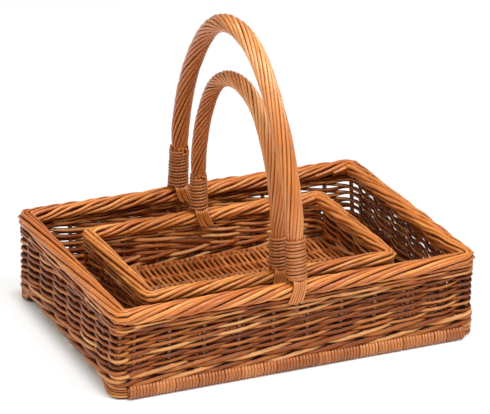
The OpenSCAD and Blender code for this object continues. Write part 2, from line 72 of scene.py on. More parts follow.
class RodShape:
    """A straight rod of unit length and radius, whose rings are later laid along a path."""

    def __init__(self, sides: int, rings: int, cut: float = 0.18) -> None:
        """Builds the rod with bmesh.

        Args:
            sides: Faces round the rod.
            rings: Rings along it, its two ends included.
            cut: Width of the bevel at each cut end, in radii.
        """
        mesh = bmesh.new()
        bmesh.ops.create_cone(
            mesh, cap_ends=True, segments=sides, radius1=1.0, radius2=1.0, depth=1.0
        )
        bmesh.ops.translate(mesh, verts=mesh.verts, vec=(0.0, 0.0, 0.5))
        long_edges = [e for e in mesh.edges if abs(e.verts[0].co.z - e.verts[1].co.z) > 0.5]
        if rings > 2:
            bmesh.ops.subdivide_edges(
                mesh, edges=long_edges, cuts=rings - 2, use_grid_fill=False
            )
        for end in (0.0, 1.0):
            caps = [f for f in mesh.faces if all(abs(v.co.z - end) < 1e-6 for v in f.verts)]
            bmesh.ops.inset_region(mesh, faces=caps, thickness=cut, use_even_offset=True)
            inner = [v for f in caps for v in f.verts]
            step = CUT_STEP if end > 0.5 else -CUT_STEP
            bmesh.ops.translate(mesh, verts=inner, vec=(0.0, 0.0, step))
        mesh.normal_update()
        mesh.verts.index_update()
        self.rings = rings
        self.cut = cut
        self.points = np.array([v.co[:] for v in mesh.verts])
        self.faces = [[v.index for v in f.verts] for f in mesh.faces]
        mesh.free()


class RodShapes:
    """Keeps each rod shape once, by its faces and rings."""

    known: dict[tuple[int, int], RodShape] = {}

    @classmethod
    def take(cls, sides: int, rings: int) -> RodShape:
        """Returns the shape with these faces and rings, built when it is first asked for."""
        key = (sides, rings)
        if key not in cls.known:
            cls.known[key] = RodShape(sides, rings)
        return cls.known[key]


def unit(vectors: np.ndarray) -> np.ndarray:
    """Returns the vectors, one in each row, at a length of one."""
    size = np.linalg.norm(vectors, axis=-1, keepdims=True)
    return vectors / np.maximum(size, 1e-12)


class Bundle:
    """Gathers the rods of one piece into one mesh, with what its finish reads.

    The attribute grain holds each point's place in the straight rod, tone a number for each rod,
    and bared how far a point stands clear of the rods beside it, which the finish reads to paint shade
    between rods.
    """

    def __init__(self, name: str, seed: int) -> None:
        """Starts an empty bundle.

        Args:
            name: Name of the piece.
            seed: Seed of its random choices.
        """
        self.name = name
        self.random = random.Random(seed)
        self.points: list[np.ndarray] = []
        self.faces: list[list[int]] = []
        self.grain: list[np.ndarray] = []
        self.tone: list[np.ndarray] = []
        self.bared: list[np.ndarray] = []
        self.count = 0

    def lay(
        self,
        path: np.ndarray,
        radius: float | np.ndarray,
        side_way: np.ndarray,
        sides: int = 8,
        flat: float = 1.0,
        tone: float | None = None,
        paler: float | np.ndarray = 0.0,
    ) -> None:
        """Lays one rod along a path.

        Args:
            path: Points along the rod's middle line.
            radius: One radius, or one for each point.
            side_way: The way that the rod's bare side faces, for all points or for each.
            sides: Faces round the rod.
            flat: Thickness along side_way, as a share of the other way's.
            tone: The rod's tone from 0 to 1, or none for a random one.
            paler: What is added to that tone, for all points or for each.
        """
        rings = len(path)
        shape = RodShapes.take(sides, rings)
        along = unit(np.gradient(path, axis=0))
        towards = np.broadcast_to(side_way, path.shape)
        across = unit(towards - along * np.sum(towards * along, axis=1, keepdims=True))
        third = np.cross(along, across)
        reach = np.broadcast_to(radius, (rings,))
        place = np.clip(shape.points[:, 2], 0.0, 1.0) * (rings - 1)
        low = np.minimum(place.astype(int), rings - 2)
        part = (place - low)[:, None]

        def blended(values: np.ndarray) -> np.ndarray:
            """Returns the values of the two nearest rings, blended for each point."""
            return values[low] * (1.0 - part) + values[low + 1] * part

        round_way = blended(reach[:, None])
        offset = shape.points[:, 0:1] * blended(across) * flat
        offset = offset + shape.points[:, 1:2] * blended(third)
        beyond = shape.points[:, 2:3] - np.clip(shape.points[:, 2:3], 0.0, 1.0)
        bulge = beyond / CUT_STEP * BEVEL_REACH
        centre = blended(path) + bulge * blended(along) * round_way * shape.cut
        self.points.append(centre + offset * round_way)
        steps = np.linalg.norm(np.diff(path, axis=0), axis=1)
        length = np.concatenate([[0.0], np.cumsum(steps)])[:, None]
        grain = np.hstack([shape.points[:, 0:2] * round_way, blended(length)])
        shift = np.array([self.random.random() * 10.0 for _ in range(3)])
        self.grain.append(grain + shift)
        value = self.random.random() if tone is None else tone
        value = value + blended(np.broadcast_to(paler, (rings,))[:, None])[:, 0]
        cut_end = CUT_TONE if tone is None else tone
        capped = np.abs(beyond[:, 0]) > 0.0
        self.tone.append(np.where(capped, cut_end, value))
        # bared is low on a rod's flanks, where the finish paints shade between rods; cut ends count as
        # clear.
        self.bared.append(np.where(capped, 1.0, np.abs(shape.points[:, 0])))
        base = self.count
        self.faces.extend([[base + k for k in face] for face in shape.faces])
        self.count += len(shape.points)

    def finish(self, node: str, slot: str, body: str, material: bpy.types.Material) -> None:
        """Makes the mesh, and puts it in place of a node.

        Args:
            node: The frame's node that the piece stands for.
            slot: The material slot's name; not used.
            body: The body that the piece rides on.
            material: The piece's finish.
        """
        data = bpy.data.meshes.new(self.name)
        data.from_pydata(np.concatenate(self.points).tolist(), [], self.faces)
        grain = data.attributes.new("grain", "FLOAT_VECTOR", "POINT")
        grain.data.foreach_set("vector", np.concatenate(self.grain).astype(np.float32).ravel())
        tone = data.attributes.new("tone", "FLOAT", "POINT")
        tone.data.foreach_set("value", np.concatenate(self.tone).astype(np.float32))
        bared = data.attributes.new("bared", "FLOAT", "POINT")
        bared.data.foreach_set("value", np.concatenate(self.bared).astype(np.float32))
        data.shade_smooth()
        data.set_sharp_from_angle(angle=math.radians(48.0))
        data.materials.append(material)
        piece = bpy.data.objects.new(self.name, data)
        bpy.context.scene.collection.objects.link(piece)
        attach(piece, body)
        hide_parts(node)
        triangles = sum(len(face) - 2 for face in self.faces)
        LOG.info("%s: %d rods, %d triangles", self.name, len(self.tone), triangles)


# Materials


class Value:
    """A number from one socket of a material, which Python's operators can work on."""

    def __init__(self, tree: bpy.types.NodeTree, socket: bpy.types.NodeSocket) -> None:
        """Wraps a socket.

        Args:
            tree: The material's node tree.
            socket: The socket that gives the number.
        """
        self.tree = tree
        self.socket = socket

    def _math(self, operation: str, *parts: "Value | float") -> "Value":
        """Returns the result of a Math node on the parts."""
        node = self.tree.nodes.new("ShaderNodeMath")
        node.operation = operation
        for index, part in enumerate(parts):
            if isinstance(part, Value):
                self.tree.links.new(part.socket, node.inputs[index])
            else:
                node.inputs[index].default_value = part
        return Value(self.tree, node.outputs[0])

    def __add__(self, other: "Value | float") -> "Value":
        """Returns the sum."""
        return self._math("ADD", self, other)

    __radd__ = __add__

    def __sub__(self, other: "Value | float") -> "Value":
        """Returns the difference."""
        return self._math("SUBTRACT", self, other)

    def __rsub__(self, other: "Value | float") -> "Value":
        """Returns the difference the other way round."""
        return self._math("SUBTRACT", other, self)

    def __mul__(self, other: "Value | float") -> "Value":
        """Returns the product."""
        return self._math("MULTIPLY", self, other)

    __rmul__ = __mul__

    def __pow__(self, power: float) -> "Value":
        """Returns the number raised to a power."""
        return self._math("POWER", self, power)

    def clamped(self) -> "Value":
        """Returns the number kept from 0 to 1."""
        return self._math("MINIMUM", self._math("MAXIMUM", self, 0.0), 1.0)


class Recipe:
    """A material in the making."""

    def __init__(self, name: str) -> None:
        """Starts a material with an empty Principled shader.

        Args:
            name: Name of the material.
        """
        self.material = bpy.data.materials.new(name)
        self.material.use_nodes = True
        self.tree = self.material.node_tree
        self.shader = self.tree.nodes["Principled BSDF"]

    def node(self, kind: str, settings: dict | None = None, **values: object) -> bpy.types.Node:
        """Adds a node.

        Args:
            kind: The node's type.
            settings: Its own settings, set first. A ramp's stops are (place, colour) pairs.
            **values: Numbers or links for its sockets, by name with underscores for spaces.

        Returns:
            The node.
        """
        made = self.tree.nodes.new(kind)
        for key, value in (settings or {}).items():
            if key == "stops":
                self._set_stops(made, value)
            else:
                setattr(made, key, value)
        for key, value in values.items():
            self.feed(made, key.replace("_", " "), value)
        return made

    def _set_stops(self, ramp: bpy.types.Node, stops: list[tuple[float, tuple]]) -> None:
        """Sets a ramp's stops."""
        elements = ramp.color_ramp.elements
        while len(elements) < len(stops):
            elements.new(1.0)
        for element, (place, colour) in zip(elements, stops):
            element.position = place
            element.color = (*colour, 1.0)

    def feed(self, node: bpy.types.Node, name: str, value: object) -> None:
        """Sets or links one socket of a node."""
        socket = next(s for s in node.inputs if s.name == name and s.enabled)
        if isinstance(value, Value):
            self.tree.links.new(value.socket, socket)
        elif isinstance(value, bpy.types.NodeSocket):
            self.tree.links.new(value, socket)
        else:
            socket.default_value = value

    def attribute(self, name: str) -> bpy.types.Node:
        """Returns a node that reads an attribute of the piece."""
        return self.node("ShaderNodeAttribute", {"attribute_name": name})

    def noise(self, vector: bpy.types.NodeSocket, scale: float, detail: float) -> Value:
        """Returns noise over a vector, from 0 to 1."""
        made = self.node("ShaderNodeTexNoise", {}, Vector=vector, Scale=scale, Detail=detail)
        return Value(self.tree, made.outputs[0])

    def mixed(self, share: Value, first: object, second: object) -> bpy.types.NodeSocket:
        """Returns a colour between two colours."""
        made = self.tree.nodes.new("ShaderNodeMix")
        made.data_type = "RGBA"
        self.tree.links.new(share.socket, made.inputs[0])
        for socket, colour in ((made.inputs[6], first), (made.inputs[7], second)):
            if isinstance(colour, bpy.types.NodeSocket):
                self.tree.links.new(colour, socket)
            else:
                socket.default_value = (*colour, 1.0)
        return made.outputs[2]


def srgb(red: int, green: int, blue: int) -> tuple[float, float, float]:
    """Returns a colour in linear light from its written values of 0 to 255."""

    def linear(value: int) -> float:
        """Returns one channel in linear light."""
        share = value / 255.0
        return share / 12.92 if share <= 0.04045 else ((share + 0.055) / 1.055) ** 2.4

    return linear(red), linear(green), linear(blue)


@dataclass(frozen=True)
class WillowFinish:
    """Buff willow: steamed and stripped rods with a thin sheen.

    Attributes:
        name: Name of the material.
        tones: Colours of the rods, from the darkest to the palest.
        stain: Colour of the dark streaks.
        grey: Colour of the weathered patches.
        gap_shade: Colour of the painted shade in the gaps between rods.
        gap_shading: Share of that painted shade.
        gap_shade_width: How far the painted shade reaches over a rod's side, from 0 to 1.
        weathering: Share of the grey patches.
        spread: How much the tone differs from rod to rod.
        roughness: Least roughness.
        coat: Weight of the thin varnish-like skin.
        gloss: Strength of the bare wood's own reflection.
    """

    name: str
    tones: tuple
    stain: tuple = srgb(92, 32, 6)
    grey: tuple = srgb(158, 118, 80)
    gap_shade: tuple = srgb(66, 20, 4)
    gap_shading: float = 1.1
    gap_shade_width: float = 0.72
    weathering: float = 0.15
    spread: float = 0.3
    roughness: float = 0.3
    coat: float = 0.2
    gloss: float = 0.45

    def material(self) -> bpy.types.Material:
        """Returns the finish as a material."""
        made = Recipe(self.name)
        grain = made.attribute("grain").outputs["Vector"]
        tone = Value(made.tree, made.attribute("tone").outputs["Fac"])
        long = made.node("ShaderNodeMapping", {}, Vector=grain, Scale=(1.0, 1.0, 0.09))
        fine = made.noise(long.outputs[0], 1500.0, 3.0)
        streaks = made.noise(long.outputs[0], 420.0, 4.0)
        patches = made.noise(grain, 24.0, 2.0)
        blotches = made.noise(grain, 95.0, 3.0)
        place = (tone * self.spread + patches * 0.44 + (0.28 - self.spread / 2)).clamped()
        last = len(self.tones) - 1
        stops = [(index / last, colour) for index, colour in enumerate(self.tones)]
        ramp = made.node("ShaderNodeValToRGB", {"stops": stops}, Fac=place)
        dark = ((streaks - 0.52) * 3.2).clamped() * 0.55
        streaked = made.mixed(dark, ramp.outputs[0], self.stain)
        wear_and_painted_light = ((blotches - 0.58) * 6.0).clamped() * self.weathering
        weathered = made.mixed(wear_and_painted_light, streaked, self.grey)
        pale = ((fine - 0.5) * 2.4).clamped() * 0.3
        paled = made.mixed(pale, weathered, self.tones[-1])
        # Painted shade in the gaps between rods: each rod's flanks, where the rods beside it lie, darken
        # in patches towards the shade colour.
        bared = Value(made.tree, made.attribute("bared").outputs["Fac"])
        painted_gap_shade = ((self.gap_shade_width - bared) * 1.5).clamped() * (blotches * 1.9 - 0.25).clamped()
        painted_gap_shade = (painted_gap_shade * self.gap_shading).clamped()
        final = made.mixed(painted_gap_shade, paled, self.gap_shade)
        made.feed(made.shader, "Base Color", final)
        rough = (self.roughness + streaks * 0.22 + wear_and_painted_light * 0.3).clamped()
        made.feed(made.shader, "Roughness", rough)
        height = fine * 0.5 + streaks * 0.9 + blotches * 0.4
        bump = made.node("ShaderNodeBump", {}, Strength=0.32, Distance=0.0005, Height=height)
        made.feed(made.shader, "Normal", bump.outputs[0])
        made.shader.inputs["Coat Weight"].default_value = self.coat
        made.shader.inputs["Coat Roughness"].default_value = 0.28
        made.shader.inputs["Specular IOR Level"].default_value = self.gloss
        return made.material


@dataclass(frozen=True)
class StickFinish:
    """Plain willow for the sticks and stakes that the weave hides in part.

    Attributes:
        name: Name of the material.
        dark: Colour of the dark growth lines.
        pale: Colour of the wood between them.
    """

    name: str
    dark: tuple
    pale: tuple

    def material(self) -> bpy.types.Material:
        """Returns the finish as a material."""
        made = Recipe(self.name)
        where = made.node("ShaderNodeTexCoord").outputs["Object"]
        coarse = made.noise(where, 60.0, 3.0)
        fine = made.noise(where, 900.0, 4.0)
        share = (coarse * 0.7 + fine * 0.5 - 0.1).clamped()
        made.feed(made.shader, "Base Color", made.mixed(share, self.dark, self.pale))
        made.feed(made.shader, "Roughness", (0.45 + fine * 0.25).clamped())
        bump = made.node("ShaderNodeBump", {}, Strength=0.25, Distance=0.0004, Height=fine)
        made.feed(made.shader, "Normal", bump.outputs[0])
        return made.material


SIDING_FINISH = WillowFinish(
    "siding_willow",
    (srgb(76, 22, 4), srgb(148, 74, 24), srgb(194, 118, 56), srgb(240, 184, 122)),
    gap_shading=2.0,
    gap_shade_width=0.9,
    spread=0.72,
    coat=0.06,
    gloss=0.22,
)
BORDER_FINISH = WillowFinish(
    "border_willow",
    (srgb(140, 56, 10), srgb(190, 102, 34), srgb(220, 138, 60), srgb(246, 184, 110)),
    gap_shading=0.95,
    weathering=0.1,
    spread=0.5,
)
FLOOR_FINISH = WillowFinish(
    "floor_willow",
    (srgb(104, 38, 8), srgb(160, 82, 32), srgb(190, 114, 54), srgb(224, 156, 96)),
    spread=0.45,
)
HANDLE_FINISH = WillowFinish(
    "handle_willow",
    (srgb(138, 60, 14), srgb(186, 102, 38), srgb(216, 138, 70), srgb(250, 196, 134)),
    gap_shading=0.7,
    weathering=0.1,
    spread=0.16,
    roughness=0.28,
    coat=0.6,
)
BINDING_FINISH = WillowFinish(
    "binding_willow",
    (srgb(122, 56, 18), srgb(160, 88, 38), srgb(190, 118, 62), srgb(224, 164, 108)),
    gap_shading=0.8,
    spread=0.45,
)
STICK_FINISH = StickFinish("hidden_willow", srgb(96, 48, 22), srgb(176, 112, 62))


# Shapes of a trug


@dataclass(frozen=True)
class TrugSizes:
    """The driving sizes of one trug, in millimetres, as in the part's source.

    Attributes:
        name: Name that its nodes start with.
        body: The body that it rides on.
        middle: Place of its middle and its feet's underside.
        length: Length over the border.
        width: Width over the border.
        height: Height of the border's top.
        corner: Outer radius of the border's corners.
        wall: Thickness of the woven wall.
        border_width: Width of the border.
        border_height: Height of the border.
        side_lean: Lean of each long wall.
        handle_x: Place of the handle along the trug.
        skew: How far its front foot stands to the right of its back foot.
        rise: Rise of its middle line above the rim.
        crown: Radius of its crown.
        rope_d: Thickness of the roped handle.
        neck_d: Thickness under the bindings.
        neck: Length of the bound neck.
        neck_lean: Lean of the neck towards the middle, in degrees.
        lays: Length of one turn of the handle's rods: back leg, crown and front leg.
        open_ends: How much thinner the siding's rods are on the right end, as a share.
        stick_shift: Place of the base sticks about the middle, in spacings.
    """

    name: str
    body: str
    middle: tuple[float, float, float]
    length: float
    width: float
    height: float
    corner: float
    wall: float
    border_width: float
    border_height: float
    side_lean: float
    handle_x: float
    skew: float
    rise: float
    crown: float
    rope_d: float
    neck_d: float
    neck: float
    neck_lean: float
    lays: tuple[float, float, float]
    open_ends: float
    stick_shift: float


LARGE = TrugSizes(
    name="large", body="large_trug", middle=(0.0, 0.0, 0.0),
    length=480.0, width=366.0, height=116.0, corner=16.0, wall=14.0,
    border_width=22.0, border_height=19.0, side_lean=8.5, handle_x=-11.0, skew=15.2,
    rise=270.0, crown=117.0, rope_d=23.0, neck_d=19.2, neck=60.0, neck_lean=5.8,
    lays=(260.0, 235.0, 420.0), open_ends=0.2, stick_shift=0.0,
)
SMALL = TrugSizes(
    name="small", body="small_trug", middle=(-10.0, -6.0, 25.8),
    length=340.0, width=234.0, height=82.5, corner=14.0, wall=12.5,
    border_width=19.0, border_height=16.0, side_lean=5.0, handle_x=0.0, skew=16.6,
    rise=209.0, crown=86.0, rope_d=20.0, neck_d=16.4, neck=51.0, neck_lean=0.0,
    lays=(150.0, 135.0, 260.0), open_ends=0.0, stick_shift=0.5,
)

END_LEAN = -3.0
BORDER_PROUD = 1.5
WALL_CORNER = 18.0
STAKE_PITCH = 45.0
END_STAKE_PITCH = 50.0
FLOOR_LIFT = 15.0
FLOOR_THICK = 10.5
UPSETT_HEIGHT = 22.0
TOP_WALE_HEIGHT = 8.0
FOOT_D = 19.0
FOOT_FLAT = 0.5
FOOT_PROUD = 7.0
FOOT_INSET = 18.5
BASE_STICK_D = 7.5
BASE_STICK_PITCH = 57.0
SKIRT_LIFT = 2.0
SKIRT_LENGTH = 38.0
SKIRT_CLIMB = 30.0
SHOULDER = 4.0
BINDING_LIFT = 3.2
LEAST_TURN = 1.0
BORDER_ROD = 2.75
BORDER_TURN = (-75.0, 262.0)
BORDER_BEND = 0.75
BORDER_SWAY = 0.45
BORDER_RINGS = 46
BORDER_END_PITCH = 49.0
BORDER_END_PLACE = 0.44
SIDE_SLOPE = 0.245
RIGHT_SLOPE = 0.12
LEFT_SLOPE = 0.06


def eased(share: np.ndarray) -> np.ndarray:
    """Returns shares from 0 to 1, eased at both ends."""
    kept = np.clip(share, 0.0, 1.0)
    return kept * kept * (3.0 - 2.0 * kept)


class Loop:
    """A path round a trug's wall: a rounded oblong whose size changes with height."""

    def __init__(self, sizes: TrugSizes, inset: float, corner: float, leans: bool = True) -> None:
        """Sets the path out.

        Args:
            sizes: The trug's sizes.
            inset: Distance in from the outside of the wall.
            corner: Radius of the path's corners.
            leans: Whether the path follows the walls' lean, or stays upright as the border does.
        """
        self.sizes = sizes
        self.inset = inset
        self.corner = corner
        self.leans = leans

    def half(self, z: np.ndarray) -> tuple[np.ndarray, np.ndarray]:
        """Returns half the length and half the width of the path at each height."""
        s = self.sizes
        down = (1.0 - z / s.height) if self.leans else 0.0 * z
        proud = BORDER_PROUD if self.leans else 0.0
        half_x = s.length / 2 - proud - END_LEAN * down - self.inset
        half_y = s.width / 2 - proud - s.side_lean * down - self.inset
        return half_x, half_y

    def run(self, z: np.ndarray) -> np.ndarray:
        """Returns the length of the path right round, at each height."""
        half_x, half_y = self.half(z)
        return 4 * (half_x + half_y - 2 * self.corner) + TURN * self.corner

    def at(
        self, arc: np.ndarray, z: np.ndarray, off: np.ndarray
    ) -> tuple[np.ndarray, np.ndarray]:
        """Returns points beside the path, and the ways out of it.

        The path starts at the middle of the front and runs towards +X. Points inside it turn
        its corners more sharply, and points outside it more widely.

        Args:
            arc: Distances along the path.
            z: Heights.
            off: Distances out of the path.

        Returns:
            The points (x, y) and the unit outward ways, one in each row.
        """
        halves = self.half(z)
        runs = [half - self.corner for half in halves]
        turn_r = np.maximum(self.corner + off, LEAST_TURN)
        beside = [half + off - turn_r for half in halves]
        bend = math.pi * self.corner / 2
        total = 2 * TURN * self.corner / 2 + 4 * (runs[0] + runs[1])
        left = np.mod(arc, total)
        left = np.where(left > total - runs[0], left - total, left)
        place = np.zeros((len(arc), 2))
        out = np.zeros((len(arc), 2))
        start = -runs[0]
        for quarter in range(4):
            near, far = quarter % 2, 1 - quarter % 2
            along = left - start - runs[near]
            angle = np.clip((along - runs[near]) / self.corner, 0.0, math.pi / 2)
            way = np.stack([np.sin(angle), -np.cos(angle)], axis=1)
            share = np.minimum(along / runs[near], 1.0)
            local = np.stack([share * beside[near], -beside[far]], axis=1) + turn_r[:, None] * way
            turn = quarter * math.pi / 2
            turned = np.array([
                [math.cos(turn), math.sin(turn)],
                [-math.sin(turn), math.cos(turn)],
            ])
            stop = start + 2 * runs[near] + bend
            here = (left >= start - 1e-9) & (left <= stop + 1e-9)
            place[here] = (local @ turned)[here]
            out[here] = (way @ turned)[here]
            start = stop
        return place, out


class Stations:
    """The stakes round a wall, in order, as distances along a loop at any height."""

    def __init__(self, sizes: TrugSizes, loop: Loop) -> None:
        """Finds the stakes.

        Args:
            sizes: The trug's sizes.
            loop: The loop that runs through the stakes.
        """
        self.loop = loop
        half_x = sizes.length / 2 - BORDER_PROUD - END_LEAN
        half_y = sizes.width / 2 - BORDER_PROUD - sizes.side_lean
        side = math.floor((half_x - WALL_CORNER - abs(sizes.handle_x)) / STAKE_PITCH + 0.5)
        end = math.floor((half_y - WALL_CORNER) / END_STAKE_PITCH + 0.5)
        xs = [sizes.handle_x + (i + 0.5) * STAKE_PITCH for i in range(-side, side)]
        ys = [(i + 0.5) * END_STAKE_PITCH for i in range(-end, end)]
        quarter = math.pi / 4
        rows = [(0, 0, 0, x) for x in xs if x >= 0]
        rows.append((1, 0, quarter, 0))
        rows += [(1, 1, 2 * quarter, y) for y in ys]
        rows.append((1, 2, 3 * quarter, 0))
        rows += [(2, 2, 4 * quarter, -x) for x in reversed(xs)]
        rows.append((3, 2, 5 * quarter, 0))
        rows += [(3, 3, 6 * quarter, -y) for y in reversed(ys)]
        rows.append((3, 4, 7 * quarter, 0))
        rows += [(4, 4, 8 * quarter, x) for x in xs if x < 0]
        self.rows = np.array(rows, dtype=float)
        self.count = len(rows)

    def arc(self, u: np.ndarray, z: np.ndarray) -> np.ndarray:
        """Returns distances along the loop.

        Args:
            u: Places counted in stakes, from the first.
            z: Heights.

        Returns:
            The distances, which go on growing past each full turn.
        """
        half_x, half_y = self.loop.half(z)
        corner = self.loop.corner
        terms = np.stack([half_x - corner, half_y - corner, corner + 0.0 * z, 1.0 + 0.0 * z])
        low = np.floor(u).astype(int)
        part = u - low
        total = self.loop.run(z)

        def stake(index: np.ndarray) -> np.ndarray:
            """Returns the distance to each stake."""
            rows = self.rows[np.mod(index, self.count)]
            return np.sum(rows * terms.T, axis=1) + np.floor_divide(index, self.count) * total

        return stake(low) * (1.0 - part) + stake(low + 1) * part


class Trug:
    """One trug: its weave, border, handle and feet."""

    sides = 8

    def __init__(self, sizes: TrugSizes, seed: int) -> None:
        """Sets a trug out.

        Args:
            sizes: Its driving sizes.
            seed: Seed of its random choices.
        """
        self.sizes = sizes
        self.seed = seed
        middle = WALL_CORNER - sizes.wall / 2
        self.wall = Loop(sizes, sizes.wall / 2, middle)
        self.stations = Stations(sizes, self.wall)
        self.reach = sizes.wall / 2 - 2.5

    def placed(self, x: np.ndarray, y: np.ndarray, z: np.ndarray) -> np.ndarray:
        """Returns points of the trug's own frame in the shared frame, in metres."""
        return (np.stack([x, y, z], axis=1) + np.array(self.sizes.middle)) * MM

    def bundle(self, part: str, kind: int) -> Bundle:
        """Starts the bundle of one part."""
        return Bundle(f"{self.sizes.name}_{part}_rods", self.seed * 100 + kind)

    def end(self, bundle: Bundle, part: str, slot: str, material: bpy.types.Material) -> None:
        """Finishes the bundle of one part in place of its node."""
        bundle.finish(f"{self.sizes.name}_{part}", slot, self.sizes.body, material)

    def beside(self, loop: Loop, arc: np.ndarray, z: np.ndarray, off: np.ndarray) -> tuple:
        """Returns points beside a loop in the shared frame, and the ways out of it.

        Args:
            loop: The loop.
            arc: Distances along it.
            z: Heights in the trug's own frame.
            off: Distances out of the loop.
        """
        place, out = loop.at(arc, z, off)
        ways = np.column_stack([out, np.zeros(len(arc))])
        return self.placed(place[:, 0], place[:, 1], z), ways

    def siding(self, material: bpy.types.Material) -> None:
        """Weaves the siding: one slanting rod from each stake, in front and behind in turn."""
        s = self.sizes
        bundle = self.bundle("siding", 1)
        pick = bundle.random
        low = FLOOR_LIFT + UPSETT_HEIGHT - 1.5
        high = s.height - s.border_height - TOP_WALE_HEIGHT + 1.5
        step = 4.5
        rows = (high - low) / step
        per = 8
        for k in range(self.stations.count):
            first = -1.1 + pick.uniform(-0.1, 0.1)
            last = rows + 0.9 + pick.uniform(-0.4, 0.3)
            rings = int((last - first) * per) + 2
            t = np.linspace(first, last, rings)
            thick = pick.uniform(0.92, 1.1)
            wobble = pick.uniform(0.0, TURN)
            z = low + t * step + 0.45 * np.sin(t * 1.7 + wobble) + 0.4 * np.sin(t * 0.7 - wobble)
            arc = self.stations.arc(k + t, z)
            points, ways = self.beside(self.wall, arc, z, 0.0 * t)
            right = points[:, 0] / MM - s.middle[0] - s.length / 2
            front = (ways[:, 1] < -0.7) * (1.0 - eased((right + 110.0) / 60.0))
            back = (ways[:, 1] > 0.7) * (1.0 - eased((right + 190.0) / 60.0))
            back = back * eased((right + s.length - 50.0) / 40.0)
            near = -points[:, 1] / MM + s.middle[1] + s.width / 2
            left = (ways[:, 0] < -0.7) * eased((near - 90.0) / 60.0)
            tight = 0.35 * front + 0.6 * back + 0.25 * left
            sway = (self.reach + 0.4 * np.sin(t * 0.9 + wobble)) * (1.0 - tight)
            off = -np.cos(math.pi * t) * sway
            open_end = eased((right + 40.0) / 25.0)
            radius = thick * (2.85 - 0.45 * (t - first) / (last - first))
            upper = back * eased((t - last + 5.0) / 2.0)
            radius = radius * (1.0 - s.open_ends * open_end)
            radius = radius * (1.0 + 0.14 * back + 0.2 * upper + 0.07 * left)
            joins = [0, len(t)]
            if k % 3 == 1 and rows > 5.0:
                joins.insert(1, int((2 * pick.randrange(1, int(rows / 2)) - 0.6 - first) * per))
            for begin, stop in zip(joins, joins[1:]):
                part = slice(begin, min(stop + per, len(t)))
                butt = np.exp(-(t[part] - t[begin]) / 0.35) * (begin > 0)
                points, ways = self.beside(
                    self.wall, arc[part], z[part] - 1.5 * butt, off[part] - 2.2 * butt
                )
                size = radius[part] * (1.0 + 0.12 * butt)
                bundle.lay(points, size * MM, ways, self.sides)
        self.end(bundle, "siding", "siding_willow", material)

    def wale(
        self,
        bundle: Bundle,
        low: float,
        high: float,
        rounds: int,
        radius: float,
        rods: int = 3,
        length: int = 13,
    ) -> None:
        """Weaves rounds of waling, where each rod goes before two stakes and behind one.

        Args:
            bundle: The bundle that the rods join.
            low: Lower edge of the band.
            high: Upper edge of the band.
            rounds: Rounds of the weave.
            radius: Radius of a rod.
            rods: Rods that work together.
            length: Length of one rod, in stakes.
        """
        pick = bundle.random
        count = self.stations.count
        band = (high - low) / rounds
        lift = (band - radius) * 0.42
        per = 7
        for rod in range(rods):
            for round_index in range(rounds):
                start = rod + round_index
                end = start + count
                while start < end - 0.5:
                    stop = min(start + length + pick.randrange(-2, 3), end + 0.6)
                    u = np.linspace(start - 0.45, stop, int((stop - start) * per) + 4)
                    turn = TURN * (u - rod - round_index) / rods
                    off = 1 / 3 - 1.075 * np.cos(turn) - 0.258 * np.cos(2 * turn)
                    z = low + band * (round_index + 0.5) - lift * np.sin(turn)
                    z = z + 0.3 * np.sin(u * 0.8 + rod)
                    size = radius * pick.uniform(0.92, 1.08) * np.linspace(1.08, 0.88, len(u))
                    arc = self.stations.arc(u, z)
                    points, ways = self.beside(self.wall, arc, z, off * self.reach)
                    bundle.lay(points, size * MM, ways, self.sides)
                    start = stop

    def skirts(self, bundle: Bundle) -> None:
        """Winds the lowest rods round the corners, from beside the feet's ends.

        Args:
            bundle: The bundle that the rods join.
        """
        flat = np.array([0.0])
        half_x, half_y = (float(half[0]) for half in self.wall.half(flat))
        corner = self.wall.corner
        bend = math.pi * corner / 2
        runs = (half_x - corner, half_y - corner)
        level = runs[1] - (self.sizes.width / 2 - SKIRT_LENGTH)
        pick = bundle.random
        radius = 2.05
        for quarter in range(4):
            past = runs[0] + quarter * bend + bend / 2 + 2 * (runs[1] if quarter > 0 else 0.0)
            past += 2 * (runs[0] if quarter > 1 else 0.0) + 2 * (runs[1] if quarter > 2 else 0.0)
            sign = 1.0 if quarter % 2 == 0 else -1.0
            for layer, off in enumerate((self.reach + 0.4, -self.reach + 1.0)):
                for row in range(4):
                    end = bend / 2 + level + SKIRT_CLIMB * (0.55 + 0.3 * row) + pick.uniform(-4, 4)
                    d = np.linspace(-bend / 2 - 2.5 + 2.0 * layer, end, 30)
                    climb = eased((d - bend / 2 - level * 0.4) / SKIRT_CLIMB)
                    z = SKIRT_LIFT + radius + FLOOR_LIFT * climb
                    z = z + row * 3.7 * (1.0 - 0.8 * climb) + pick.uniform(-0.2, 0.2)
                    sink = eased((d - end + 14.0) / 14.0) * off * 0.8
                    arc = past + sign * d
                    points, ways = self.beside(self.wall, arc, z, off - sink)
                    bundle.lay(points, radius * pick.uniform(0.95, 1.08) * MM, ways, self.sides)

    def upsett(self, material: bpy.types.Material) -> None:
        """Weaves the waling that turns the stakes up from the floor."""
        bundle = self.bundle("upsett", 2)
        self.wale(bundle, FLOOR_LIFT, FLOOR_LIFT + UPSETT_HEIGHT, 2, 3.5)
        self.skirts(bundle)
        self.end(bundle, "upsett", "siding_willow", material)

    def top_wale(self, material: bpy.types.Material) -> None:
        """Weaves the fine wale under the border."""
        bundle = self.bundle("top_wale", 3)
        high = self.sizes.height - self.sizes.border_height + 1.0
        self.wale(bundle, high - TOP_WALE_HEIGHT - 1.5, high, 2, 2.15)
        self.end(bundle, "top_wale", "siding_willow", material)

